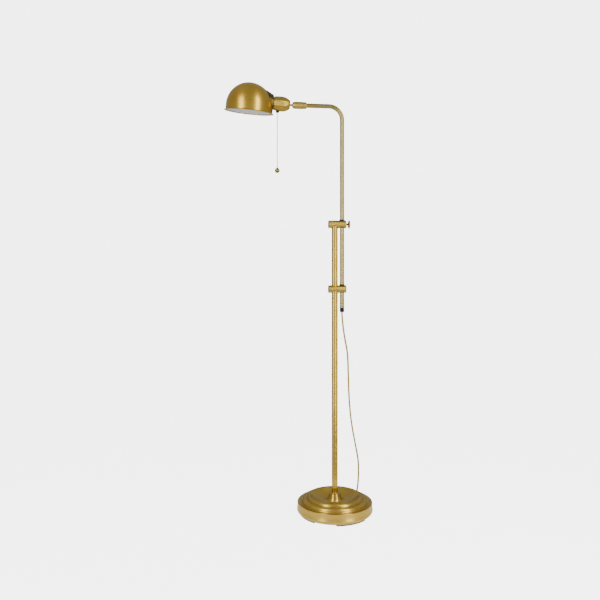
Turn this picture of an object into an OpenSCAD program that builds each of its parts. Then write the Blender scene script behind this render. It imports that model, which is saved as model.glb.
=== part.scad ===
// Pharmacy floor lamp: weighted round base, post with two crosspieces, a bent arm
// that slides and swivels in them, and a domed shade on a swivel with a pull chain.
// +Z is up, the floor is z = 0, the post stands on the origin and the arm reaches to -X.

/* [Base] */
// Diameter over the bulge of the base
base_d = 260.35; // [240:0.05:300]
// Thickness of the spun base shell
shell_t = 1.5; // [1:0.1:2]
// Height of the rubber pads
pad_h = 4; // [3:0.5:5]
// Arc that each rubber pad covers, in degrees
pad_arc = 54; // [20:1:70]

/* [Post] */
// Outside diameter of the post
post_d = 20.6; // [19:0.1:21]
// Wall of the post tubes
post_wall = 1.5; // [1:0.1:2]
// Height of the joint between the two post tubes
post_joint_z = 518; // [420:1:600]

/* [Crosspieces] */
// Height of the upper crosspiece's centre
upper_z = 992; // [940:1:1040]
// Height of the lower crosspiece's centre
lower_z = 769; // [740:1:830]
// Diameter of the crosspieces
cross_d = 26.4; // [25:0.1:30]
// Distance from the post's axis to the arm tube's axis
cross_pitch = 25.4; // [24:0.1:28]
// Diameter of the lock knob's disc
knob_d = 26; // [20:0.5:32]

/* [Arm] */
// Outside diameter of the arm tube
arm_d = 15; // [14:0.1:15.5]
// Wall of the arm tube
arm_wall = 1.5; // [1:0.1:2]
// Height of the arm's level run
arm_z = 1398.2; // [1360:0.1:1420]
// Radius of the bend, on the tube's centre line
bend_r = 46; // [40:1:60]
// Height of the arm tube's lower end
arm_end_z = 704.6; // [690:0.1:710]

/* [Head] */
// Distance from the post to the swivel's pin
swivel_reach = 149; // [140:1:170]
// Angle by which the shade's end of the head is raised
head_pitch = 4.5; // [0:0.5:12]
// Angle by which the head is rolled towards the viewer, about the arm
head_roll = 13; // [0:1:20]
// Radius of the dome
dome_r = 80; // [76:0.5:84]
// Height of the straight skirt under the dome
skirt_h = 16.5; // [14:0.5:24]
// Width of the rolled lip round the rim
lip_w = 5; // [2:0.1:6]
// Sheet thickness of the shade
shade_t = 1.2; // [0.8:0.1:1.6]
// Largest radius of the socket cup
cup_r = 24.8; // [23:0.1:26]

/* [Pull chain] */
// Length of the bead chain
chain_l = 180; // [100:1:220]
// Diameter of the ball on the chain's end
fob_d = 17; // [12:0.5:20]

/* [Hidden] */

$fn = 96;
fit = 0.05;               // radial clearance of a running fit
brass = "#b08d3e";
steel = "#9a9a9a";
black = "#202020";
cord_gold = "#cda62c";

// Base heights and radii
base_r = base_d / 2;
bulge_z = 15;
rim_r = base_r - 1.1;
rim_z = 40;
bell_top = 66.3;
plate_t = 1.5;
weight_z = pad_h + plate_t;
weight_h = 27;
bolt_r = 5;
collar_r = 20.5;          // ring on the bell, round the post's foot
collar_h = 3.6;
pad_r = 121;
pad_w = 13;

// Post
post_r = post_d / 2;
post_bore_r = post_r - post_wall;
post_z = bell_top + 0.5;
post_top_z = upper_z + 8;
post_gap = 0.4;           // shadow line where the two tubes meet

// Crosspieces
cross_r = cross_d / 2;
cross_x0 = -22;
cross_x1 = 39.5;
bush_r = 9.7;
bush_proud = 3;
grub_r = 2.5;
screw_r = 3.5;
knob_x = 47;
knob_t = 5.8;
tube_r = arm_d / 2;
tube_bore_r = tube_r - arm_wall;

// Arm
arm_left_x = -128;
collar_x0 = -109;
collar_x1 = -98;
ferrule_x0 = -146;
ferrule_x1 = collar_x0 - 0.3;
ferrule_r = 12;
grommet_r = 8;
grommet_h = 15;
lead_r = 2.9;

// Head, in its own frame: the pin is the origin and the head's axis runs along -X
tongue_t = 3;
knuckle_r = 4;
ear_t = 2;
stud_r = 5.5;
cup_u0 = 5;
cup_u1 = 61.7;
cup_mid_u = 35;
cup_t = 1.2;
dome_u = 143;
rim_w = -38.4;
neck_u = 62.5;
neck_r = 27;
neck_w = 0.5;
neck_slope = 0.45;
neck_l = 44;
bush_u = 46.5;
mouth_w = -29.5;
ring_r = 2;               // small rings that join the chain to the switch
wire_r = 0.5;
ring_step = 2 * ring_r - 2 * wire_r - 0.1;
chain_r = 1.7;

// Pull chain, in the lamp's frame
eye_drop = bush_u * sin(head_pitch) + (mouth_w - ring_r) * cos(head_pitch);
eye_x = -swivel_reach - bush_u * cos(head_pitch) + (mouth_w - ring_r) * sin(head_pitch);
eye_y = -eye_drop * sin(head_roll);
eye_z = arm_z + eye_drop * cos(head_roll);
chain_top_z = eye_z - 2 * ring_step - ring_r;
fob_z = chain_top_z - chain_l - fob_d / 2;

// Free cord: the route of its centre line from the grommet to the hank
cord_r = 2.5;
cord_sides = 8;
cord_route = [[25, 0, 690], [27, 1, 662], [31, 2, 628], [37, 5, 593], [44, 8, 558], [48, 13, 523],
    [50, 18, 487], [52, 24, 452], [54, 30, 416], [57, 36, 379], [61, 43, 343], [66, 50, 306],
    [73, 57, 268], [81, 65, 231], [89, 73, 194], [96, 81, 162], [100, 90, 129], [102, 101, 96],
    [103, 113, 66], [103, 126, 40], [103, 139, 20], [103, 150, 9], [102, 159, 4],
    [102, 167, 2.5]];
cord_steps = 3;           // rings between two points of the route

// Hank: turns of a long oval, lying flat behind the base
hank_at = [20, 174];
hank_turn = -5;
hank_run = 90;
hank_outer = 37.5;
hank_inner = 18;
hank_half = 3.1;
hank_z = [0.9, 4.3];
tail_route = [[45, 18, 2.5], [36, 17, 2.6], [27, 14, 3], [18, 9, 4], [9, 4, 5], [1, 1, 5.5],
    [-5, 0, 5.5]];
plug_a = -5;              // where the cord enters the plug's strain relief
plug_z = 5.5;

// ---- helpers ----

// Ring of the given radii from z = 0 upwards
module ring(outer, inner, height) {
    linear_extrude(height) difference() {
        circle(outer);
        circle(inner);
    }
}

// Torus with its axis along Z
module torus(radius, wire) {
    rotate_extrude() translate([radius, 0]) circle(wire, $fn = 32);
}

// Puts the children on an axis along +X, starting at x
module along_x(x, z = 0) {
    translate([x, 0, z]) rotate([0, 90, 0]) children();
}

// Puts the children on the swivel's pin, rolled about the arm's axis
module on_pin() {
    translate([-swivel_reach, 0, arm_z]) rotate([head_roll, 0, 0]) children();
}

// Moves the children from the head's own frame to the lamp's
module head() {
    on_pin() rotate([0, head_pitch, 0]) children();
}

// Turns a profile whose height runs along the head's axis, away from the pin
module head_axis(u = 0) {
    translate([-u, 0, 0]) rotate([0, -90, 0]) children();
}

// Moves the children to the hank's place on the floor
module hank_place() {
    translate([hank_at.x, hank_at.y, 0]) rotate(hank_turn) children();
}

// Points on an arc round c, from angle a to angle b
function arc(c, r, a, b, n) = [for (i = [0:n]) let (t = a + (b - a) * i / n)
    [c.x + r * cos(t), c.y + r * sin(t)]];

// Outline moved sideways by t, to the left of its direction of travel
function inset(p, t) = [for (i = [0:len(p) - 1])
    let (a = p[max(i - 1, 0)])
    let (b = p[min(i + 1, len(p) - 1)])
    let (d = (b - a) / norm(b - a))
    p[i] + t * [-d.y, d.x]];

// The same outline, run backwards
function reversed(p) = [for (i = [len(p) - 1:-1:0]) p[i]];

// Smooth curve through points, with n steps between each pair
function through(p, n) = [for (i = [0:len(p) - 2], j = [0:n - 1])
    let (a = p[max(i - 1, 0)])
    let (d = p[min(i + 2, len(p) - 1)])
    let (t = j / n)
    0.5 * (2 * p[i] + (p[i + 1] - a) * t + (2 * a - 5 * p[i] + 4 * p[i + 1] - d) * t * t
        + (3 * p[i] - a - 3 * p[i + 1] + d) * t * t * t), p[len(p) - 1]];

function unit(v) = v / norm(v);

// Tube of n sides swept along a curve
module sweep(path, r, n) {
    last = len(path) - 1;
    rings = [for (i = [0:last])
        let (d = unit(path[min(i + 1, last)] - path[max(i - 1, 0)]))
        let (side = unit(cross(d, [0.3, 0.9, 0.1])))
        let (up = cross(side, d))
        for (k = [0:n - 1]) path[i] + r * (cos(k * 360 / n) * side + sin(k * 360 / n) * up)];
    walls = [for (i = [0:last - 1], k = [0:n - 1]) let (m = (k + 1) % n)
        [i * n + k, i * n + m, (i + 1) * n + m, (i + 1) * n + k]];
    ends = [[for (k = [n - 1:-1:0]) k], [for (k = [0:n - 1]) last * n + k]];
    polyhedron(points = rings, faces = concat(walls, ends));
}

// ---- base ----

// Outer line of the base, from its lower edge over the rim to the bell's top
base_line = concat(
    arc([base_r - 10, bulge_z], 10, -78, 12, 12),
    [[rim_r - 0.3, 24], [rim_r - 0.6, 29]],
    arc([rim_r - 1.9, rim_z - 1.2], 1.4, -10, 100, 6),
    [[121, rim_z - 0.6]],
    arc([115.5, 41.2], 2.6, -80, -170, 5),
    arc([104.5, 44], 8.2, 0, 108, 10),
    arc([97.5, 53.4], 2, -70, -140, 4),
    arc([88, 53], 8, 5, 129, 12),
    [for (r = [79:-4:39]) [r, 41.5 + 15.5 * pow((r - 40) / 40, 2)]],
    [[34, 41.9], [30, 42.6]],
    [for (z = [44.5:2.5:64.5]) [17.5 + 10.5 * exp((43 - z) / 14), z]],
    [[18.4, bell_top], [14.7, bell_top]]);

module foot_pads() {
    color(black)
    for (a = [0:3]) rotate(-96 + 90 * a) rotate_extrude(angle = pad_arc)
        translate([pad_r - pad_w, 0]) square([pad_w, pad_h]);
}

module base_plate() {
    color(steel) translate([0, 0, pad_h]) ring(121.8, bolt_r + 0.5, plate_t);
}

module base_weight() {
    color("#404040") translate([0, 0, weight_z]) difference() {
        ring(112, bolt_r + 0.5, weight_h);
        translate([0, 0, weight_h]) rotate_extrude() translate([60, 0]) circle(8);
    }
}

module base_shell() {
    color(brass) rotate_extrude($fn = 180)
        polygon(concat(base_line, reversed(inset(base_line, shell_t))));
}

module base_bolt() {
    color(steel) union() {
        translate([0, 0, 0.9]) cylinder(h = 2.1, r = 10, $fn = 6);
        translate([0, 0, 3]) cylinder(h = 89, r = bolt_r);
    }
}

module base_washer() {
    color(steel) translate([0, 0, 3]) ring(11, bolt_r + 0.3, pad_h - 3);
}

module riser_tube() {
    color(steel) translate([0, 0, weight_z + weight_h])
        ring(post_r - 0.1, bolt_r + 0.3, post_z - weight_z - weight_h);
}

module collar_ring() {
    color(brass) translate([0, 0, bell_top + 0.1]) rotate_extrude() difference() {
        union() {
            translate([post_r + fit, 0]) square([collar_r - collar_h / 2 - post_r - fit, collar_h]);
            translate([collar_r - collar_h / 2, collar_h / 2]) circle(collar_h / 2);
        }
        square([post_r + fit, 10]);
    }
}

// ---- post ----

module post_foot_plug() {
    color(steel) translate([0, 0, post_z + 2]) ring(post_bore_r, bolt_r, 22);
}

module post_lower() {
    color(brass) translate([0, 0, post_z]) ring(post_r, post_bore_r, post_joint_z - post_z);
}

module post_coupler() {
    color(steel) translate([0, 0, post_joint_z - 20]) ring(post_bore_r, 4.2, 40);
}

module post_upper() {
    color(brass) translate([0, 0, post_joint_z + post_gap])
        ring(post_r, post_bore_r, post_top_z - post_joint_z - post_gap);
}

// ---- crosspieces ----

// Bar along X with rounded edges, the arm's bore and a grub screw's hole behind the post
module crosspiece(z) {
    difference() {
        along_x(cross_x0, z) rotate_extrude() polygon(concat([[0, 0]],
            arc([cross_r - 0.8, 0.8], 0.8, -90, 0, 4),
            arc([cross_r - 0.8, cross_x1 - cross_x0 - 0.8], 0.8, 0, 90, 4),
            [[0, cross_x1 - cross_x0]]));
        translate([cross_pitch, 0, z - 20]) cylinder(h = 40, r = bush_r);
        translate([0, 0, z]) rotate([-90, 0, 0]) cylinder(h = 20, r = grub_r);
    }
}

module upper_crosspiece() {
    color(brass) difference() {
        crosspiece(upper_z);
        translate([0, 0, post_top_z - 40]) cylinder(h = 40, r = post_r);
        along_x(cross_pitch, upper_z) cylinder(h = 20, r = screw_r + fit);
    }
}

module lower_crosspiece() {
    color(brass) difference() {
        crosspiece(lower_z);
        translate([0, 0, lower_z - 20]) cylinder(h = 40, r = post_r);
    }
}

// Black sleeve that the arm tube runs in, standing a little proud of its crosspiece
module bushing(z) {
    translate([cross_pitch, 0, z - cross_r + 1])
        ring(bush_r, tube_r + fit, 2 * cross_r - 1 + bush_proud);
}

module upper_bushing() {
    color(black) difference() {
        bushing(upper_z);
        along_x(cross_pitch, upper_z) cylinder(h = 20, r = screw_r + 0.3);
    }
}

module lower_bushing() {
    color(black) bushing(lower_z);
}

module grub_screws() {
    color(steel) for (z = [lower_z, upper_z])
        translate([0, post_r + 0.1, z]) rotate([-90, 0, 0]) difference() {
            cylinder(h = 2.6, r = grub_r);
            translate([0, 0, 1]) cylinder(h = 2, r = 1.4, $fn = 6);
        }
}

// ---- lock knob ----

module lock_screw() {
    tip_x = cross_pitch + tube_r + 0.3;
    color(black) along_x(tip_x, upper_z) cylinder(h = knob_x + 3 - tip_x, r = screw_r);
}

module lock_knob() {
    edge = 1.2;
    color(brass) along_x(knob_x, upper_z) difference() {
        rotate_extrude() polygon(concat([[0, 0]],
            arc([knob_d / 2 - edge, edge], edge, -90, 0, 4),
            arc([knob_d / 2 - edge, knob_t - edge], edge, 0, 90, 4),
            [[0, knob_t]]));
        translate([0, 0, -1]) cylinder(h = 4, r = screw_r);
    }
}

// ---- arm ----

// Pipe that follows the arm: up, round the bend, and left to x
module arm_run(outer, inner, z0, x) {
    translate([cross_pitch, 0, z0]) ring(outer, inner, arm_z - bend_r - z0);
    translate([cross_pitch - bend_r, 0, arm_z - bend_r]) rotate([90, 0, 0])
        rotate_extrude(angle = 90, $fn = 120) translate([bend_r, 0]) difference() {
            circle(outer);
            circle(inner);
        }
    along_x(x, arm_z) ring(outer, inner, cross_pitch - bend_r - x);
}

module arm_tube() {
    color(brass) union() arm_run(tube_r, tube_bore_r, arm_end_z, arm_left_x);
}

module inner_lead() {
    color(cord_gold) union() arm_run(lead_r, 1, arm_end_z + 12, arm_left_x + 4);
}

module end_grommet() {
    waist = 0.3;
    color(black) translate([cross_pitch, 0, arm_end_z]) difference() {
        union() {
            translate([0, 0, -grommet_h]) rotate_extrude() polygon(concat([[0, 0], [grommet_r - 0.5, 0]],
                [for (i = [0:8]) [grommet_r - waist * sin(i * 22.5), 0.5 + i * (grommet_h - 1) / 8]],
                [[grommet_r - 0.5, grommet_h - 0.1], [0, grommet_h - 0.1]]));
            translate([0, 0, -1]) cylinder(h = 9, r = tube_bore_r - fit);
        }
        translate([0, 0, -grommet_h - 1]) cylinder(h = 30, r = 3.2);
    }
}

// ---- swivel ----

module ferrule_collar() {
    length = collar_x1 - collar_x0;
    color(brass) along_x(collar_x0, arm_z) rotate_extrude() difference() {
        polygon(concat([[0, 0], [ferrule_r - 0.6, 0]],
            arc([ferrule_r - 2.2, length - 1.6], 1.6, 0, 90, 5), [[0, length]]));
        translate([0, -1]) square([tube_r, length + 2]);
    }
}

module ferrule_body() {
    length = ferrule_x1 - ferrule_x0;
    color(brass) along_x(ferrule_x0, arm_z) rotate_extrude() difference() {
        polygon([[0, 0], [9.2, 0], [10.2, 1], [ferrule_r, 8], [ferrule_r, length - 1],
            [ferrule_r - 0.6, length], [0, length]]);
        translate([0, -1]) square([stud_r, length + 2]);
        translate([0, 17]) square([tube_r + 0.08, length]);
    }
}

module swivel_fork() {
    stud_x = ferrule_x0 + 1.2 + swivel_reach;
    color(brass) on_pin() difference() {
        union() {
            along_x(stud_x) cylinder(h = 14, r = stud_r);
            for (s = [-1, 1]) translate([0, s * (tongue_t / 2 + 0.1 + ear_t / 2), 0]) {
                rotate([90, 0, 0]) cylinder(h = ear_t, r = knuckle_r, center = true);
                translate([0, -ear_t / 2, -knuckle_r]) cube([5, ear_t, 2 * knuckle_r]);
            }
        }
        rotate([90, 0, 0]) cylinder(h = 20, r = 1.5, center = true);
        along_x(stud_x - 0.2) cylinder(h = 30, r = 2.2);
    }
}

module swivel_pin() {
    color(steel) on_pin() rotate([90, 0, 0])
        cylinder(h = 2 * ear_t + tongue_t + 1.2, r = 1.5, center = true);
}

module swivel_tongue() {
    color(brass) head() difference() {
        union() {
            rotate([90, 0, 0]) cylinder(h = tongue_t, r = knuckle_r - 0.3, center = true);
            translate([-6, -tongue_t / 2, -3]) cube([6, tongue_t, 6]);
            head_axis(cup_u0 - 0.5) cylinder(h = 4, r = 4.5);
            head_axis(cup_u0 + 2) cylinder(h = 2.5, r = 8);
        }
        rotate([90, 0, 0]) cylinder(h = 20, r = 1.5 + fit, center = true);
    }
}

// ---- socket ----

// Radius of the cup at distance u from the pin
function cup_line(u) = u < cup_mid_u
    ? cup_r * sqrt(1 - pow((cup_mid_u - u) / 34.2, 2))
    : cup_r - 2.5 * pow((u - cup_mid_u) / (cup_u1 - cup_mid_u), 2);

module socket_cup() {
    outer = [for (i = [0:24]) let (u = cup_u0 + (cup_u1 - cup_u0) * i / 24) [cup_line(u), u]];
    color(brass) head() difference() {
        head_axis() rotate_extrude() polygon(concat(outer,
            [[cup_line(cup_u1) - cup_t, cup_u1]],
            [for (i = [23:-1:1]) let (p = outer[i]) [p.x - cup_t, p.y]],
            [[11, cup_u0 + 1.6], [4.6, cup_u0 + 1.6], [4.6, cup_u0]]));
        translate([-bush_u, 0, -30]) cylinder(h = 12, r = 5);
    }
}

module lampholder() {
    color(black) head() difference() {
        union() {
            head_axis(14) cylinder(h = 34, r = 17);
            head_axis(48) cylinder(h = 16.5, r = 16);
        }
        head_axis(46) cylinder(h = 30, r = 14.4);
    }
}

module insulating_sleeve() {
    color("#7a5a3a") head() head_axis(48) ring(14.3, 13.5, 17);
}

module screw_shell() {
    color("#c9a24a") head() head_axis(46.1) difference() {
        cylinder(h = 21, r = 13.4);
        translate([0, 0, 0.6]) cylinder(h = 30, r = 12.9);
        translate([0, 0, -1]) cylinder(h = 3, r = 6);
    }
}

module centre_contact() {
    color(steel) head() head_axis(46) cylinder(h = 2, r = 4);
}

module switch_bushing() {
    color(black) head() difference() {
        union() {
            translate([-bush_u, 0, mouth_w]) cylinder(h = 2, r1 = 5.2, r2 = 6.5);
            translate([-bush_u, 0, mouth_w + 2]) cylinder(h = 2.5, r = 6.5);
            translate([-bush_u, 0, mouth_w + 4]) cylinder(h = 7, r = 4.9);
        }
        translate([-bush_u, 0, mouth_w - 1]) cylinder(h = 20, r = 2.2);
    }
}

// ---- shade ----

// Dome on a straight skirt, with the lip standing out by lip
module dome_solid(r, lip) {
    rotate_extrude($fn = 180) polygon(concat(
        [[0, 0], [r + lip, 0], [r + lip, 1.1], [r + 0.4 * lip, 2.2], [r, 4.5]],
        arc([0, skirt_h], r, 0, 90, 30)));
}

// Inside of the dome, a plain bore under the same round top
module dome_bore(r) {
    rotate_extrude($fn = 180) polygon(concat([[0, -1], [r, -1]], arc([0, skirt_h], r, 0, 90, 30)));
}

// Conical neck that carries the shade on the socket
module neck_solid(u, r, length) {
    translate([0, 0, neck_w]) head_axis(u) cylinder(h = length, r1 = r, r2 = r + neck_slope * length);
}

// Everything above the given height in the head's frame
module above(w) {
    translate([-dome_u, 0, w]) cylinder(h = 140, r = dome_r + 15);
}

module shade() {
    color("#c2a04c") head() difference() {
        union() {
            translate([-dome_u, 0, rim_w]) dome_solid(dome_r, lip_w);
            intersection() {
                neck_solid(neck_u, neck_r, neck_l);
                above(rim_w + 6);
            }
        }
        translate([-dome_u, 0, rim_w]) dome_bore(dome_r - shade_t);
        intersection() {
            neck_solid(neck_u + shade_t, neck_r - shade_t, neck_l);
            above(rim_w + 8);
        }
        head_axis(neck_u - 2) cylinder(h = 10, r = 16.6);
    }
}

module retaining_ring() {
    color(black) head() head_axis(neck_u + shade_t + 0.1) ring(20, 16.7, 4);
}

module bulb_cap() {
    color(steel) head() head_axis(48.4) cylinder(h = 22, r = 12.7);
}

module bulb_glass() {
    color("white") head() head_axis(70.5) rotate_extrude() intersection() {
        union() {
            translate([0, 58]) circle(24);
            polygon([[0, 0], [12.6, 0], [13.5, 12], [17.5, 30], [22.6, 50], [0, 58]]);
        }
        square([30, 90]);
    }
}

// ---- pull switch and chain ----

module switch_plunger() {
    color(steel) union() {
        head() translate([-bush_u, 0, mouth_w - 0.4]) cylinder(h = 12.8, r = 2.1);
        translate([eye_x, eye_y, eye_z]) rotate([90, 0, 0]) torus(ring_r, wire_r);
    }
}

module chain_link() {
    color(steel) translate([eye_x, eye_y, eye_z - ring_step]) rotate([0, 90, 0])
        torus(ring_r, wire_r);
}

module pull_chain() {
    color("#c8c8c4") union() {
        translate([eye_x, eye_y, eye_z - 2 * ring_step]) rotate([90, 0, 0]) torus(ring_r, wire_r);
        translate([eye_x, eye_y, chain_top_z - chain_l]) cylinder(h = chain_l + 0.3, r = chain_r);
    }
}

module chain_fob() {
    color(brass) translate([eye_x, eye_y, fob_z]) difference() {
        union() {
            sphere(fob_d / 2);
            cylinder(h = fob_d / 2 + 2, r = 2.8);
        }
        translate([0, 0, fob_d / 2]) cylinder(h = 10, r = chain_r);
    }
}

// ---- power cord ----

// Long oval outline with round ends of radius r
module oval(r) {
    square([hank_run, 2 * r], center = true);
    for (s = [-1, 1]) translate([s * hank_run / 2, 0]) circle(r);
}

module power_cord() {
    color(cord_gold) sweep(through(cord_route, cord_steps), cord_r, cord_sides);
}

module cord_hank() {
    color(cord_gold) hank_place() translate([0, 0, hank_z[0]])
        linear_extrude(hank_z[1] - hank_z[0]) difference() {
            oval(hank_outer + hank_half);
            oval(hank_inner - hank_half);
        }
}

module hank_ties() {
    mid = (hank_outer + hank_inner) / 2;
    half = (hank_outer - hank_inner) / 2 + hank_half;
    color(black) hank_place() for (s = [-1, 1])
        translate([-3, s * mid, 0]) rotate([90, 0, 90]) linear_extrude(6) difference() {
            translate([-half - 1, 0]) square([2 * half + 2, 5.2]);
            translate([-half - 0.1, 0.8]) square([2 * half + 0.2, 3.6]);
        }
}

module cord_tail() {
    color(cord_gold) hank_place() sweep(through(tail_route, cord_steps), cord_r, cord_sides);
}

module plug_body() {
    color(cord_gold) hank_place() translate([plug_a, 0, plug_z]) head_axis() union() {
        cylinder(h = 13, r1 = 3.4, r2 = 4.6);
        translate([-plug_z, -9.5, 12]) intersection() {
            cube([11, 19, 24]);
            translate([5.5, 9.5, 0]) cylinder(h = 24, r1 = 9, r2 = 13);
        }
    }
}

module plug_blades() {
    color(steel) hank_place() for (s = [-1, 1])
        translate([plug_a - 36 - 16, s * 6.35 - 0.75, plug_z - 3.2]) cube([18, 1.5, 6.4]);
}

foot_pads();
base_plate();
base_weight();
base_shell();
base_bolt();
base_washer();
riser_tube();
collar_ring();
post_foot_plug();
post_lower();
post_coupler();
post_upper();
upper_crosspiece();
lower_crosspiece();
upper_bushing();
lower_bushing();
grub_screws();
lock_screw();
lock_knob();
end_grommet();
arm_tube();
inner_lead();
ferrule_collar();
ferrule_body();
swivel_fork();
swivel_pin();
swivel_tongue();
socket_cup();
lampholder();
insulating_sleeve();
screw_shell();
centre_contact();
switch_bushing();
shade();
retaining_ring();
bulb_cap();
bulb_glass();
switch_plunger();
chain_link();
pull_chain();
chain_fob();
power_cord();
cord_hank();
hank_ties();
cord_tail();
plug_body();
plug_blades();
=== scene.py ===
import bpy
import math
from mathutils import Matrix, Vector


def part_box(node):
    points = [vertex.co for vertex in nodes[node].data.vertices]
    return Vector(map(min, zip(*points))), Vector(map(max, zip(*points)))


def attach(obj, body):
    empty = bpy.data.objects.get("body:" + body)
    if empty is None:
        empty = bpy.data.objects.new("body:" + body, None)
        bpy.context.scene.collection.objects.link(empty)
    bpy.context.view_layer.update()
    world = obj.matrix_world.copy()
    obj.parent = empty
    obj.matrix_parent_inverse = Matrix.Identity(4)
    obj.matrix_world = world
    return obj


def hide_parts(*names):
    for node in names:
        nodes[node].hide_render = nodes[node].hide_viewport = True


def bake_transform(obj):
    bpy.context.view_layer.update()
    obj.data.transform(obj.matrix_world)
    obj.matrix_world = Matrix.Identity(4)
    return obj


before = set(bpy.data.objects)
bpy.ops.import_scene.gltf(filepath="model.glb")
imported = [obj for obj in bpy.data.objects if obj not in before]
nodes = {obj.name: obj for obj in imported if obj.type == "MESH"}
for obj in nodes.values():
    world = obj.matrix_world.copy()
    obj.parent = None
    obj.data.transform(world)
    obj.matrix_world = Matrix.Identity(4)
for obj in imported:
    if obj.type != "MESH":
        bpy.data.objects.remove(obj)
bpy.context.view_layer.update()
col = bpy.context.scene.collection


# ---------------------------------------------------------------- camera

cam_data = bpy.data.cameras.new("camera")
cam_data.lens = 33.24
cam_data.sensor_width = 36
cam = bpy.data.objects.new("camera", cam_data)
cam.location = (-0.2777, -1.893, 0.733)
cam.rotation_euler = (math.radians(89.95), 0, math.radians(-4.76))
col.objects.link(cam)
bpy.context.scene.camera = cam


# ---------------------------------------------------------------- shared sizes

MM = 0.001
ARM_Z, UPPER_Z, LOWER_Z = 1.3982, 0.992, 0.769
HEAD_PIN_X, KNOB_X = -0.149, 0.047
HEAD_ROLL, HEAD_PITCH = 13, 4.5


def turn(axis, degrees):
    return Matrix.Rotation(math.radians(degrees), 4, axis)


def shift(x, y, z):
    return Matrix.Translation((x, y, z))


HEAD = shift(HEAD_PIN_X, 0, ARM_Z) @ turn("X", HEAD_ROLL) @ turn("Y", HEAD_PITCH)


# ---------------------------------------------------------------- mesh helpers


def add_mesh(name, verts, faces, matrix=None, sharp=35, mats=(), mat_ids=None):
    """A smooth-shaded object in the lamp's frame, with edges sharper than `sharp` degrees crisp."""
    me = bpy.data.meshes.new(name)
    me.from_pydata([tuple(v) for v in verts], [], faces)
    if matrix is not None:
        me.transform(matrix)
    for m in mats:
        me.materials.append(m)
    if mat_ids:
        me.polygons.foreach_set("material_index", mat_ids)
    me.shade_smooth()
    me.set_sharp_from_angle(angle=math.radians(sharp))
    o = bpy.data.objects.new(name, me)
    col.objects.link(o)
    return o


def middle(verts, face):
    return sum((Vector(verts[i]) for i in face), Vector()) / len(face)


def clipped(part, keep):
    """The part with only those faces whose middle passes `keep`."""
    verts, faces = part
    return verts, [f for f in faces if keep(middle(verts, f))]


def lathe(profile, segs):
    """Verts and faces of a profile of (radius, height) in mm, turned about local Z."""
    verts, faces, start = [], [], []
    for r, h in profile:
        start.append(len(verts))
        if r < 1e-6:
            verts.append((0, 0, h * MM))
        else:
            verts += [(r * MM * math.cos(2 * math.pi * k / segs),
                       r * MM * math.sin(2 * math.pi * k / segs), h * MM) for k in range(segs)]
    for i in range(len(profile) - 1):
        a, b = start[i], start[i + 1]
        pa, pb = profile[i][0] < 1e-6, profile[i + 1][0] < 1e-6
        for k in range(segs):
            m = (k + 1) % segs
            if pa:
                faces.append((a, b + m, b + k))
            elif pb:
                faces.append((a + k, a + m, b))
            else:
                faces.append((a + k, a + m, b + m, b + k))
    return verts, faces


def join(*parts):
    """One part from several."""
    verts, faces = [], []
    for v, f in parts:
        n = len(verts)
        verts += list(v)
        faces += [tuple(i + n for i in q) for q in f]
    return verts, faces


def moved(part, matrix):
    """The part with its verts taken through a matrix."""
    v, f = part
    return [matrix @ Vector(p) for p in v], f


def arc(cx, cy, r, a, b, n):
    """Points of an arc from a to b degrees, in n steps."""
    return [(cx + r * math.cos(math.radians(a + (b - a) * i / n)),
             cy + r * math.sin(math.radians(a + (b - a) * i / n))) for i in range(n + 1)]


def through(points, n):
    """The same smooth curve as in the CAD source, with n steps between each pair."""
    p = [Vector(q) for q in points]
    out = []
    for i in range(len(p) - 1):
        a, b, c, d = p[max(i - 1, 0)], p[i], p[i + 1], p[min(i + 2, len(p) - 1)]
        for j in range(n):
            t = j / n
            out.append(0.5 * (2 * b + (c - a) * t + (2 * a - 5 * b + 4 * c - d) * t * t
                              + (3 * b - a - 3 * c + d) * t * t * t))
    out.append(p[-1])
    return out


def torus(radius, wire, segs=40, sides=12):
    """Ring of round wire about local Z, with its sizes in mm."""
    verts, faces = [], []
    for i in range(segs):
        a = 2 * math.pi * i / segs
        for k in range(sides):
            b = 2 * math.pi * k / sides
            r = radius + wire * math.cos(b)
            verts.append((r * MM * math.cos(a), r * MM * math.sin(a), wire * MM * math.sin(b)))
    for i in range(segs):
        for k in range(sides):
            m, n = (i + 1) % segs, (k + 1) % sides
            faces.append((i * sides + k, m * sides + k, m * sides + n, i * sides + n))
    return verts, faces


# ---------------------------------------------------------------- materials

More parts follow.
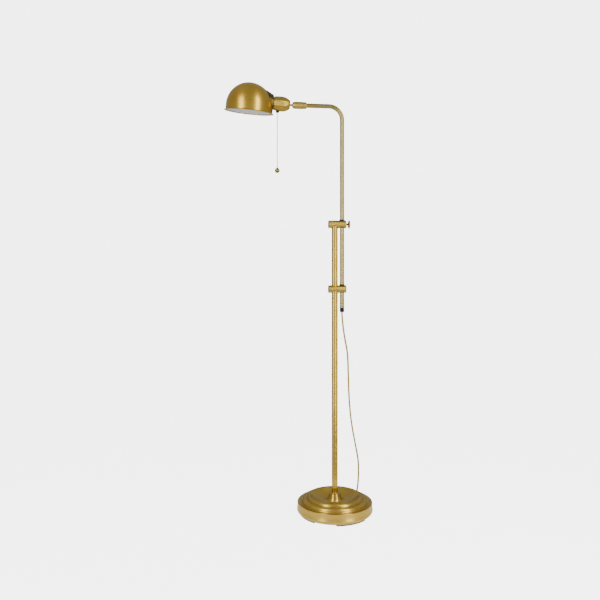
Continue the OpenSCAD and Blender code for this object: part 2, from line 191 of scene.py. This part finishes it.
class Nodes:
    """Small helper that adds linked nodes to a material."""

    def __init__(self, name):
        self.mat = bpy.data.materials.new(name)
        self.mat.use_nodes = True
        self.tree = self.mat.node_tree
        self.tree.nodes.clear()
        out = self.tree.nodes.new("ShaderNodeOutputMaterial")
        self.bsdf = self.tree.nodes.new("ShaderNodeBsdfPrincipled")
        self.tree.links.new(self.bsdf.outputs[0], out.inputs[0])

    def add(self, kind, **props):
        n = self.tree.nodes.new(kind)
        for k, v in props.items():
            setattr(n, k, v)
        return n

    def link(self, a, b):
        self.tree.links.new(a, b)

    def coords(self):
        return self.add("ShaderNodeTexCoord").outputs["Object"]

    def local(self, place):
        """Object coordinates taken back into the frame that a turned piece was turned in."""
        back = self.add("ShaderNodeVectorMath", operation="SUBTRACT")
        back.inputs[1].default_value = place.translation
        turn = self.add("ShaderNodeVectorRotate", rotation_type="EULER_XYZ", invert=True)
        turn.inputs["Rotation"].default_value = place.to_euler()
        self.link(self.coords(), back.inputs[0])
        self.link(back.outputs[0], turn.inputs["Vector"])
        return turn.outputs[0]

    def turned(self, axis, place):
        """Coordinates that are constant round the axis, so that noise makes turned lines."""
        at = self.local(place)
        flat = self.add("ShaderNodeVectorMath", operation="MULTIPLY")
        flat.inputs[1].default_value = [0 if i == "XYZ".index(axis) else 1 for i in range(3)]
        length = self.add("ShaderNodeVectorMath", operation="LENGTH")
        split = self.add("ShaderNodeSeparateXYZ")
        pair = self.add("ShaderNodeCombineXYZ")
        self.link(at, flat.inputs[0])
        self.link(flat.outputs[0], length.inputs[0])
        self.link(at, split.inputs[0])
        self.link(length.outputs["Value"], pair.inputs[0])
        self.link(split.outputs[axis], pair.inputs[1])
        return pair.outputs[0]

    def noise(self, vector, scale, detail, rough):
        n = self.add("ShaderNodeTexNoise")
        n.inputs["Scale"].default_value = scale
        n.inputs["Detail"].default_value = detail
        n.inputs["Roughness"].default_value = rough
        self.link(vector, n.inputs["Vector"])
        return n.outputs["Fac"]

    def ramp(self, fac, stops):
        r = self.add("ShaderNodeValToRGB")
        while len(r.color_ramp.elements) < len(stops):
            r.color_ramp.elements.new(0.5)
        for e, (pos, c) in zip(r.color_ramp.elements, stops):
            e.position = pos
            e.color = (*c, 1)
        self.link(fac, r.inputs[0])
        return r.outputs[0]

    def span(self, fac, low, high):
        """Takes the middle of a noise's range to low..high."""
        m = self.add("ShaderNodeMapRange")
        m.inputs["From Min"].default_value = 0.3
        m.inputs["From Max"].default_value = 0.7
        m.inputs["To Min"].default_value = low
        m.inputs["To Max"].default_value = high
        self.link(fac, m.inputs["Value"])
        return m.outputs[0]

    def multiply(self, a, b):
        m = self.add("ShaderNodeMix", data_type="RGBA", blend_type="MULTIPLY")
        m.inputs[0].default_value = 1.0
        self.link(a, m.inputs[6])
        self.link(b, m.inputs[7])
        return m.outputs[2]

    def bump(self, height, strength, distance):
        b = self.add("ShaderNodeBump")
        b.inputs["Strength"].default_value = strength
        b.inputs["Distance"].default_value = distance
        self.link(height, b.inputs["Height"])
        self.link(b.outputs[0], self.bsdf.inputs["Normal"])

    def set(self, **values):
        """Constant values on the shader's own sockets, with _ for a space."""
        for k, v in values.items():
            self.bsdf.inputs[k.replace("_", " ")].default_value = v


LATHE_LINES = 1300


def brass(name, axis, light, dark, rough, aniso, place=Matrix()):
    """Brushed, lacquered antique brass: turned lines and patchy toning."""
    n = Nodes(name)
    n.set(Metallic=1.0, Anisotropic=aniso, Anisotropic_Rotation=0.25,
          Coat_Weight=0.04, Coat_Roughness=0.2)
    if aniso:
        tangent = n.add("ShaderNodeTangent", direction_type="RADIAL", axis=axis)
        n.link(tangent.outputs[0], n.bsdf.inputs["Tangent"])
    lines = n.noise(n.turned(axis, place), LATHE_LINES, 3, 0.55)
    patches = n.noise(n.coords(), 22, 4, 0.6)
    toned = n.ramp(patches, [(0.32, dark), (0.66, light)])
    streaks = n.ramp(lines, [(0.28, (0.90, 0.89, 0.87)), (0.72, (1, 1, 1))])
    n.link(n.multiply(toned, streaks), n.bsdf.inputs["Base Color"])
    n.link(n.span(lines, rough - 0.04, rough + 0.05), n.bsdf.inputs["Roughness"])
    n.bump(lines, 0.06, 0.0001)
    return n.mat


def metal(name, light, dark, rough, bumpy=0.08):
    """Bare or plated metal with a fine grain."""
    n = Nodes(name)
    n.set(Metallic=1.0)
    grain = n.noise(n.coords(), 240, 4, 0.6)
    n.link(n.ramp(grain, [(0.3, dark), (0.7, light)]), n.bsdf.inputs["Base Color"])
    n.link(n.span(grain, rough - 0.06, rough + 0.08), n.bsdf.inputs["Roughness"])
    n.bump(grain, bumpy, 0.0002)
    return n.mat


def plain(name, light, dark, rough, bumpy, scale, coat=0.0, **more):
    """Plastic, rubber, enamel or glass with a fine grain."""
    n = Nodes(name)
    n.set(Coat_Weight=coat, Coat_Roughness=0.15, **more)
    grain = n.noise(n.coords(), scale, 4, 0.6)
    n.link(n.ramp(grain, [(0.3, dark), (0.7, light)]), n.bsdf.inputs["Base Color"])
    n.link(n.span(grain, rough - 0.05, rough + 0.08), n.bsdf.inputs["Roughness"])
    n.bump(grain, bumpy, 0.0002)
    return n.mat


GOLD, GOLD_DARK = (0.68, 0.465, 0.085), (0.60, 0.40, 0.065)
PALE, PALE_DARK = (0.46, 0.37, 0.125), (0.41, 0.32, 0.10)

brass_post = brass("brass_post", "Z", GOLD, GOLD_DARK, rough=0.2, aniso=0.3)
brass_base = brass("brass_base", "Z", GOLD, (0.56, 0.38, 0.08), rough=0.31, aniso=0.35)
brass_shade = brass("brass_shade", "Z", (0.67, 0.44, 0.068), (0.59, 0.375, 0.052), rough=0.33,
                    aniso=0.5, place=HEAD)
brass_cup = brass("brass_cup", "X", GOLD, GOLD_DARK, rough=0.36, aniso=0.85, place=HEAD)
brass_top = brass("brass_crosspiece_top", "X", GOLD, GOLD_DARK, rough=0.29, aniso=0.85,
                  place=shift(0, 0, UPPER_Z))
brass_low = brass("brass_crosspiece_low", "X", GOLD, GOLD_DARK, rough=0.29, aniso=0.85,
                  place=shift(0, 0, LOWER_Z))
brass_end = brass("brass_ferrule", "X", GOLD, GOLD_DARK, rough=0.3, aniso=0.8,
                  place=shift(0, 0, ARM_Z))
brass_knob = brass("brass_knob", "X", GOLD, GOLD_DARK, rough=0.26, aniso=0.0,
                   place=shift(0, 0, UPPER_Z))
brass_ball = brass("brass_ball", "Z", (0.36, 0.27, 0.08), (0.30, 0.22, 0.06), rough=0.3,
                   aniso=0.0)
# The shade's neck gets a far darker brass than the dome: painted shade standing in for the dim
# reflection on the neck, not the metal's own colour.
neck_brass_painted_shade = brass("neck_brass_painted_shade", "X", (0.15, 0.105, 0.026), (0.12, 0.083, 0.02), rough=0.36,
                   aniso=0.4, place=HEAD)
brass_arm = brass("brass_arm", "Z", PALE, PALE_DARK, rough=0.3, aniso=0.0)
brass_bright = metal("brass_stamped", (0.80, 0.62, 0.26), (0.70, 0.50, 0.18), 0.25)
steel = metal("steel_zinc", (0.58, 0.59, 0.60), (0.46, 0.46, 0.48), 0.35)
black_oxide = metal("steel_black_oxide", (0.035, 0.033, 0.032), (0.02, 0.02, 0.02), 0.42)
iron = plain("cast_iron", (0.10, 0.10, 0.10), (0.05, 0.05, 0.05), 0.7, 0.5, 140, Metallic=0.6)
rubber = plain("rubber_black", (0.014, 0.014, 0.014), (0.007, 0.007, 0.007), 0.75, 0.3, 500,
               Specular_IOR_Level=0.25)
plastic = plain("plastic_black", (0.014, 0.014, 0.015), (0.007, 0.007, 0.007), 0.42, 0.12, 420,
                Specular_IOR_Level=0.3)
fibre = plain("fibre_brown", (0.36, 0.22, 0.12), (0.26, 0.15, 0.08), 0.75, 0.3, 260)
enamel = plain("enamel_white", (0.86, 0.86, 0.88), (0.80, 0.80, 0.83), 0.34, 0.05, 160, coat=0.25)
nickel = metal("nickel_pale", (0.13, 0.118, 0.09), (0.09, 0.08, 0.06), 0.3, 0.05)
glass = plain("glass_frosted", (0.93, 0.93, 0.91), (0.88, 0.88, 0.86), 0.32, 0.04, 200,
              Transmission_Weight=0.25)


def cord_material():
    """Gold vinyl over stranded copper: clear skin, with the twisted strands showing through."""
    n = Nodes("cord_gold_vinyl")
    n.set(Coat_Weight=0.1, Coat_Roughness=0.2, Subsurface_Weight=0.05, Subsurface_Scale=0.002,
          Specular_IOR_Level=0.3)
    wave = n.add("ShaderNodeTexWave", bands_direction="DIAGONAL")
    wave.inputs["Scale"].default_value = 260
    wave.inputs["Distortion"].default_value = 1.2
    n.link(n.coords(), wave.inputs["Vector"])
    strands = n.ramp(wave.outputs["Fac"],
                     [(0.2, (0.32, 0.215, 0.003)), (0.8, (0.50, 0.35, 0.006))])
    cloud = n.ramp(n.noise(n.coords(), 60, 3, 0.5),
                   [(0.3, (0.86, 0.86, 0.84)), (0.7, (1, 1, 1))])
    n.link(n.multiply(strands, cloud), n.bsdf.inputs["Base Color"])
    n.link(n.span(wave.outputs["Fac"], 0.25, 0.36), n.bsdf.inputs["Roughness"])
    n.bump(wave.outputs["Fac"], 0.12, 0.0002)
    return n.mat


cord_gold = cord_material()

CAD_LOOK = {
    brass_post: ["post_lower", "post_upper"],
    brass_base: ["collar_ring"],
    brass_ball: ["chain_fob"],
    brass_top: ["upper_crosspiece"],
    brass_low: ["lower_crosspiece"],
    brass_end: ["ferrule_collar", "ferrule_body", "swivel_fork", "swivel_tongue"],
    brass_arm: ["arm_tube"],
    brass_bright: ["screw_shell", "centre_contact", "plug_blades"],
    steel: ["base_plate", "base_bolt", "base_washer", "riser_tube", "post_foot_plug",
            "post_coupler", "swivel_pin", "bulb_cap"],
    black_oxide: ["grub_screws"],
    iron: ["base_weight"],
    rubber: ["foot_pads", "end_grommet"],
    plastic: ["upper_bushing", "lower_bushing", "lock_screw", "lampholder", "switch_bushing",
              "retaining_ring", "hank_ties"],
    fibre: ["insulating_sleeve"],
    nickel: ["switch_plunger", "chain_link"],
    cord_gold: ["inner_lead", "plug_body"],
}
for mat, names in CAD_LOOK.items():
    for name in names:
        me = nodes[name].data
        me.materials.clear()
        me.materials.append(mat)


# ---------------------------------------------------------------- power cord

CORD_ROUTE = [
    (25, 0, 690), (27, 1, 662), (31, 2, 628), (37, 5, 593), (44, 8, 558), (48, 13, 523),
    (50, 18, 487), (52, 24, 452), (54, 30, 416), (57, 36, 379), (61, 43, 343), (66, 50, 306),
    (73, 57, 268), (81, 65, 231), (89, 73, 194), (96, 81, 162), (100, 90, 129), (102, 101, 96),
    (103, 113, 66), (103, 126, 40), (103, 139, 20), (103, 150, 9), (102, 159, 4),
    (102, 167, 2.5)]
TAIL_ROUTE = [(45, 18, 2.5), (36, 17, 2.6), (27, 14, 3), (18, 9, 4), (9, 4, 5), (1, 1, 5.5),
              (-5, 0, 5.5)]
HANK = shift(20, 174, 0) @ turn("Z", -5)
HALF_RUN, RADII = 45, (37.5, 31, 24.5, 18)
FLOOR_LIE = 2.5
LOBE, LOBE_X, WAIST = 1.45, 1.65, 0.75
SWAY, SWAY_WAVES = math.radians(12), 1.5


def hank_path():
    """Three long turns, each one cord's width inside the last, ending where the tail starts."""
    pts = arc(HALF_RUN, 0, RADII[0], 0, 90, 9)[1:]
    for r, inner in zip(RADII, RADII[1:]):
        pts += [(HALF_RUN - 2 * HALF_RUN * i / 8, r) for i in range(1, 9)]
        pts += arc(-HALF_RUN, 0, r, 90, 270, 18)[1:]
        ease = [(i / 8, (1 - math.cos(math.pi * i / 8)) / 2) for i in range(1, 9)]
        pts += [(-HALF_RUN + 2 * HALF_RUN * t, -(r + (inner - r) * e)) for t, e in ease]
        pts += arc(HALF_RUN, 0, inner, -90, 90, 18)[1:]
    return [HANK @ Vector((u, v, FLOOR_LIE)) for u, v in pts]


hang = through(CORD_ROUTE, 6)
path = hang + hank_path()[:-1] + [HANK @ p for p in through(TAIL_ROUTE, 3)]
path = [p * MM for p in path]


def flat_cord(points, hanging):
    """Two-lobed flat cord that twists a little while it hangs and lies flat on the floor."""
    outline = (arc(LOBE_X, 0, LOBE, -130, 130, 10) + [(0, WAIST)]
               + arc(-LOBE_X, 0, LOBE, 50, 310, 10) + [(0, -WAIST)])
    tang = [(points[min(i + 1, len(points) - 1)] - points[max(i - 1, 0)]).normalized()
            for i in range(len(points))]
    side = Vector((1, 0, 0))
    sides = []  # carried along the path without twist
    for t in tang:
        side = (side - t * side.dot(t)).normalized()
        sides.append(side)
    level = tang[hanging].cross(Vector((0, 0, 1))).normalized()
    off = math.atan2(sides[hanging].cross(level).dot(tang[hanging]), sides[hanging].dot(level))
    off = (off + math.pi / 2) % math.pi - math.pi / 2
    verts, faces, n = [], [], len(outline)
    for i, (p, t, s) in enumerate(zip(points, tang, sides)):
        share = min(1.0, i / hanging)
        twist = off * share ** 4 + SWAY * math.sin(2 * math.pi * SWAY_WAVES * share)
        if i > hanging:
            flat = t.cross(Vector((0, 0, 1))).normalized()
            twist = math.atan2(s.cross(flat).dot(t), s.dot(flat))
        w = Matrix.Rotation(twist, 3, t) @ s
        h = t.cross(w)
        verts += [p + (w * x + h * y) * MM for x, y in outline]
    for i in range(len(points) - 1):
        for k in range(n):
            m = (k + 1) % n
            faces.append((i * n + k, i * n + m, (i + 1) * n + m, (i + 1) * n + k))
    faces.append(tuple(range(n - 1, -1, -1)))
    faces.append(tuple((len(points) - 1) * n + k for k in range(n)))
    return verts, faces


cord = add_mesh("flat_cord", *flat_cord(path, len(hang) - 1), sharp=60, mats=[cord_gold])
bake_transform(cord)
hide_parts("power_cord", "cord_hank", "cord_tail")


# ---------------------------------------------------------------- base

BASE_R, RIM_R, RIM_Z, BELL_TOP, SHELL_T = 130.16, 129.075, 40, 66.3, 1.5
base_line = (
    arc(BASE_R - 10, 15, 10, -78, 12, 24) + [(RIM_R - 0.3, 24), (RIM_R - 0.6, 29)]
    + arc(RIM_R - 1.9, RIM_Z - 1.2, 1.4, -10, 100, 10) + [(121, RIM_Z - 0.6)]
    + arc(115.5, 41.2, 2.6, -80, -170, 8) + arc(104.5, 44, 8.2, 0, 108, 24)
    + arc(97.5, 53.4, 2, -70, -140, 6) + arc(88, 53, 8, 5, 129, 24)
    + [(r, 41.5 + 15.5 * ((r - 40) / 40) ** 2) for r in range(80, 38, -2)]
    + [(36, 41.7), (34, 41.9), (32, 42.2), (30, 42.6)]
    + [(17.5 + 10.5 * math.exp((43 - z) / 14), z) for z in [44.5 + i for i in range(21)]]
    + [(18.4, BELL_TOP), (14.7, BELL_TOP)])


def inset(line, t):
    """The line moved inwards by the sheet's thickness t."""
    out = []
    for i, p in enumerate(line):
        a, b = Vector(line[max(i - 1, 0)]), Vector(line[min(i + 1, len(line) - 1)])
        d = (b - a).normalized()
        out.append((p[0] - t * d.y, p[1] + t * d.x))
    return out


shell_line = base_line + inset(base_line, SHELL_T)[::-1] + [base_line[0]]
shell = add_mesh("base_shell_spun", *lathe(shell_line, 192), sharp=50, mats=[brass_base])
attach(shell, "root")
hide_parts("base_shell")


# ---------------------------------------------------------------- lock knob

def knurled_knob():
    """Disc with rounded edges and a fine straight knurl round its rim."""
    r, t, e = 13.0, 5.8, 1.0
    profile = ([(0, 0.0), (3.4, 0.0), (3.6, 0.25), (r - e - 2, 0.25), (r - e - 1.6, 0.0)]
               + arc(r - e, e, e, -90, 0, 6) + [(r, t * k / 6) for k in (2, 3, 4)]
               + arc(r - e, t - e, e, 0, 90, 6)
               + [(r - 3.0, t), (r - 3.4, t - 0.25), (5, t - 0.35), (0, t - 0.4)])
    segs, teeth = 288, 72
    verts, faces = lathe(profile, segs)
    out = []
    for x, y, z in verts:
        rad = math.hypot(x, y)
        if rad > (r - 0.9) * MM:
            a = math.atan2(y, x)
            cut = 0.28 * (0.5 - 0.5 * math.cos(teeth * a)) * min(1, (rad / MM - r + 0.9) / 0.6)
            x, y = x * (1 - cut * MM / rad), y * (1 - cut * MM / rad)
        out.append((x, y, z))
    return out, faces


knob = add_mesh("lock_knob_knurled", *knurled_knob(),
                matrix=shift(KNOB_X, 0, UPPER_Z) @ turn("Y", 90), sharp=30, mats=[brass_knob])
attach(knob, "knob")
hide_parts("lock_knob")


# ---------------------------------------------------------------- head

def along_head(u):
    """Frame whose Z runs away from the pin along the head's axis, starting at u mm."""
    return HEAD @ shift(-u * MM, 0, 0) @ turn("Y", -90)


DOME_U, RIM_W, DOME_R, SKIRT, SHEET, LIP = 143, -38.4, 80, 16.5, 1.2, 5.0
NECK_U, NECK_R, NECK_W, SLOPE = 62.5, 27, 0.5, 0.45
BULB_U, BULB_R = 70.5, 24
dome_frame = HEAD @ shift(-DOME_U * MM, 0, RIM_W * MM)
to_dome = shift((DOME_U - NECK_U) * MM, 0, (NECK_W - RIM_W) * MM) @ turn("Y", -90)


def outside_neck(margin):
    """Keeps the dome's faces that aren't inside the neck."""
    def keep(c):
        u = (DOME_U - NECK_U) - c.x / MM
        if u > 40:
            return True
        off = math.hypot(c.y / MM, c.z / MM - (NECK_W - RIM_W))
        return off > NECK_R + SLOPE * max(u, 0) - margin
    return keep


lip = ([(DOME_R - SHEET, 3.2), (DOME_R - SHEET, 0.6)] + arc(DOME_R - 0.2, 0.55, 0.55, 200, 270, 4)
       + [(DOME_R + LIP - 1.2, 0.0)] + arc(DOME_R + LIP - 0.62, 0.62, 0.62, -80, 110, 8)
       + [(DOME_R + LIP * 0.45, 1.6), (DOME_R + 0.8, 2.4), (DOME_R + 0.2, 3.4), (DOME_R, 4.6)])
outer = (lip + [(DOME_R, 6 + i * 2) for i in range(6)]
         + arc(0, SKIRT, DOME_R, 0, 88.5, 64) + [(0, SKIRT + DOME_R)])
inner = ([(DOME_R - SHEET, 3.2), (DOME_R - SHEET, 9), (DOME_R - SHEET, 14)]
         + arc(0, SKIRT, DOME_R - SHEET, 0, 88.5, 48) + [(0, SKIRT + DOME_R - SHEET)])
neck_out = ([(18, 0.0), (NECK_R - 1.2, 0.0)] + arc(NECK_R - 1.2, 1.2, 1.2, -90, 0, 5)
            + [(NECK_R + 0.06 * i * 2 + SLOPE * 2 * i * 0.93, 1.6 + i * 2) for i in range(1, 19)])
neck_in = [(16.6, SHEET), (NECK_R - 2.4, SHEET), (NECK_R - 1.3, SHEET + 1.2)] + [
    (NECK_R - SHEET + SLOPE * 2 * i, SHEET + 1 + i * 2) for i in range(1, 18)]


def below_dome(r):
    """Keeps the neck's faces that stand outside the dome of radius r."""
    def keep(c):
        x, y, z = c.x / MM, c.y / MM, c.z / MM
        if z < 3:
            return False
        if z < SKIRT:
            return math.hypot(x, y) > r - 2.0
        return math.sqrt(x * x + y * y + (z - SKIRT) ** 2) > r - 2.0
    return keep


dome_part = clipped(lathe(outer, 224), outside_neck(2.5))
neck_part = clipped(moved(lathe(neck_out, 144), to_dome), below_dome(DOME_R))
white_part = join(clipped(lathe(inner, 160), outside_neck(3.5)),
                  clipped(moved(lathe(neck_in, 96), to_dome), below_dome(DOME_R - SHEET)))


def painted(part):
    """1 for the lip's flat underside, which the white enamel reaches, and 0 for bare brass."""
    verts, faces = part
    centres = [middle(verts, f) / MM for f in faces]
    return [int(c.z < 0.4 and math.hypot(c.x, c.y) < DOME_R + LIP - 0.8) for c in centres]


# Material 0 is the dome's brass, 1 the white enamel, and 2 the neck's darker brass, which is
# painted shade.
shade = add_mesh("shade_spun", *join(dome_part, neck_part, white_part), matrix=dome_frame,
                 sharp=40, mats=[brass_shade, enamel, neck_brass_painted_shade],
                 mat_ids=painted(dome_part) + [2] * len(neck_part[1]) + [1] * len(white_part[1]))
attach(shade, "head")
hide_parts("shade")


CUP_R, CUP_NOSE, CUP_END, CUP_T = 24.8, 35, 61.7, 1.2


def cup_line(u):
    """Radius of the cup u mm from the pin: a half-ellipse nose, then a slight taper."""
    if u < CUP_NOSE:
        return CUP_R * math.sqrt(max(0, 1 - ((CUP_NOSE - u) / 34.2) ** 2))
    return CUP_R - 2.5 * ((u - CUP_NOSE) / (CUP_END - CUP_NOSE)) ** 2


nose = [u for u in [5 + 0.6 * (i ** 1.35) for i in range(1, 25)] if u < 50]
groove = [(cup_line(50.2) - 0.02, 50.2), (cup_line(50.5) - 0.3, 50.6), (cup_line(51), 51.0)]
cup_profile = (
    [(5.0, 5.0), (9.5, 5.0)] + [(cup_line(u), u) for u in nose] + groove
    + [(cup_line(u), u) for u in (52.5, 54.5, 57, 59.5)]
    + arc(cup_line(61.2) - 0.5, 61.2, 0.5, 0, 90, 3) + [(cup_line(61.2) - CUP_T, 61.5)]
    + [(cup_line(u) - CUP_T, u) for u in (58, 50, 40, 30, 20, 12)] + [(5.0, 7.0), (5.0, 5.0)])
cup = add_mesh("socket_cup_spun", *lathe(cup_profile, 144), matrix=along_head(0), sharp=38,
               mats=[brass_cup])
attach(cup, "head")
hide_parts("socket_cup")

bulb_line = [(0, 0.0), (12.2, 0.0)]
for i in range(25):
    t = i / 24
    bulb_line.append((12.6 + 10.9 * (3 * t * t - 2 * t ** 3), 0.5 + 50 * t))
bulb_line += arc(0, 58, BULB_R, -13, 88, 30) + [(0, 58 + BULB_R)]
bulb = add_mesh("bulb_smooth", *lathe(bulb_line, 96), matrix=along_head(BULB_U), sharp=50,
                mats=[glass])
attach(bulb, "head")
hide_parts("bulb_glass")


# ---------------------------------------------------------------- pull chain

low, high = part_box("pull_chain")
eye_x, eye_y = (low.x + high.x) / 2, (low.y + high.y) / 2
ring_z = high.z - 2.5 * MM
chain_parts = [moved(torus(2.0, 0.5), shift(eye_x, eye_y, ring_z) @ turn("X", 90))]
BEAD, STEP = 1.7, 3.6
ball = [(0, -BEAD)] + arc(0, 0, BEAD, -67, 67, 7) + [(0, BEAD)]
link = [(0.45, -STEP + BEAD * 0.8), (0.45, -BEAD * 0.8)]
z = ring_z - (2.5 + BEAD) * MM
while z > low.z + BEAD * MM * 0.5:
    chain_parts.append(moved(join(lathe(ball, 16), lathe(link, 8)), shift(eye_x, eye_y, z)))
    z -= STEP * MM
chain = add_mesh("bead_chain", *join(*chain_parts), sharp=60, mats=[nickel])
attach(chain, "chain")
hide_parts("pull_chain")


# ---------------------------------------------------------------- stage and light

def pale(name, strength):
    """Matt pale paint that glows."""
    n = Nodes(name)
    n.set(Base_Color=(0.8, 0.8, 0.8, 1), Roughness=0.9, Emission_Color=(1, 1, 1, 1),
          Emission_Strength=strength)
    return n.mat


# The floor sweeps up into a wall. It only shows to the camera, and a disc under it lights the base.
sweep = ([(0, -0.4), (5000, -0.4)] + arc(5000, 1999.6, 2000, -90, 0, 16)[1:] + [(7000, 7000)])
studio = add_mesh("studio_floor", *lathe(sweep, 96), sharp=60, mats=[pale("floor_pale", 4.6)])
studio.visible_glossy = False
studio.visible_diffuse = False
studio.visible_shadow = False
bounce = add_mesh("floor_bounce", *lathe([(0, -0.6), (380, -0.6)], 64),
                  mats=[pale("floor_bounce_pale", 0.52)])
bounce.visible_camera = False
bounce.visible_shadow = False

world = bpy.data.worlds.new("studio_world")
bpy.context.scene.world = world
world.use_nodes = True
wt = world.node_tree
bg = wt.nodes["Background"]
tc = wt.nodes.new("ShaderNodeTexCoord")
sp = wt.nodes.new("ShaderNodeSeparateXYZ")


def maths(operation, *values):
    """Maths node on the world, whose inputs are sockets or constant numbers."""
    m = wt.nodes.new("ShaderNodeMath")
    m.operation = operation
    for slot, value in zip(m.inputs, values):
        if isinstance(value, float):
            slot.default_value = value
        else:
            wt.links.new(value, slot)
    return m.outputs[0]


def graded(socket, from_min, from_max, to_min, to_max):
    """The socket's range from_min..from_max taken to to_min..to_max."""
    r = wt.nodes.new("ShaderNodeMapRange")
    for k, v in (("From Min", from_min), ("From Max", from_max), ("To Min", to_min),
                 ("To Max", to_max)):
        r.inputs[k].default_value = v
    wt.links.new(socket, r.inputs["Value"])
    return r.outputs[0]


# Brighter low down, and darker behind the lamp near the horizon.
wt.links.new(tc.outputs["Generated"], sp.inputs[0])
low_light = graded(sp.outputs["Z"], -0.5, 0.1, 0.62, 0.42)
behind = maths("MULTIPLY_ADD", maths("ABSOLUTE", sp.outputs["Z"]), -2.2, sp.outputs["Y"])
dimmed = graded(behind, 0.15, 0.8, 1.0, 0.3)
wt.links.new(maths("MULTIPLY", low_light, dimmed), bg.inputs["Strength"])
bg.inputs["Color"].default_value = (1, 0.99, 0.975, 1)


LAMP_MIDDLE = Vector((-0.15, 0, 0.8))


def soft_box(name, place, width, height, watts):
    """Upright area light, unseen by the camera, that faces the lamp's middle."""
    data = bpy.data.lights.new(name, "AREA")
    data.shape = "RECTANGLE"
    data.size, data.size_y = width, height
    data.energy = watts
    o = bpy.data.objects.new(name, data)
    o.location = place
    o.rotation_euler = (LAMP_MIDDLE - Vector(place)).to_track_quat("-Z", "Y").to_euler()
    o.visible_camera = False
    col.objects.link(o)


soft_box("box_left", (-1.46, -1.53, 1.1), 0.62, 2.5, 27)
soft_box("box_right", (0.86, -1.32, 1.1), 0.44, 2.5, 24)
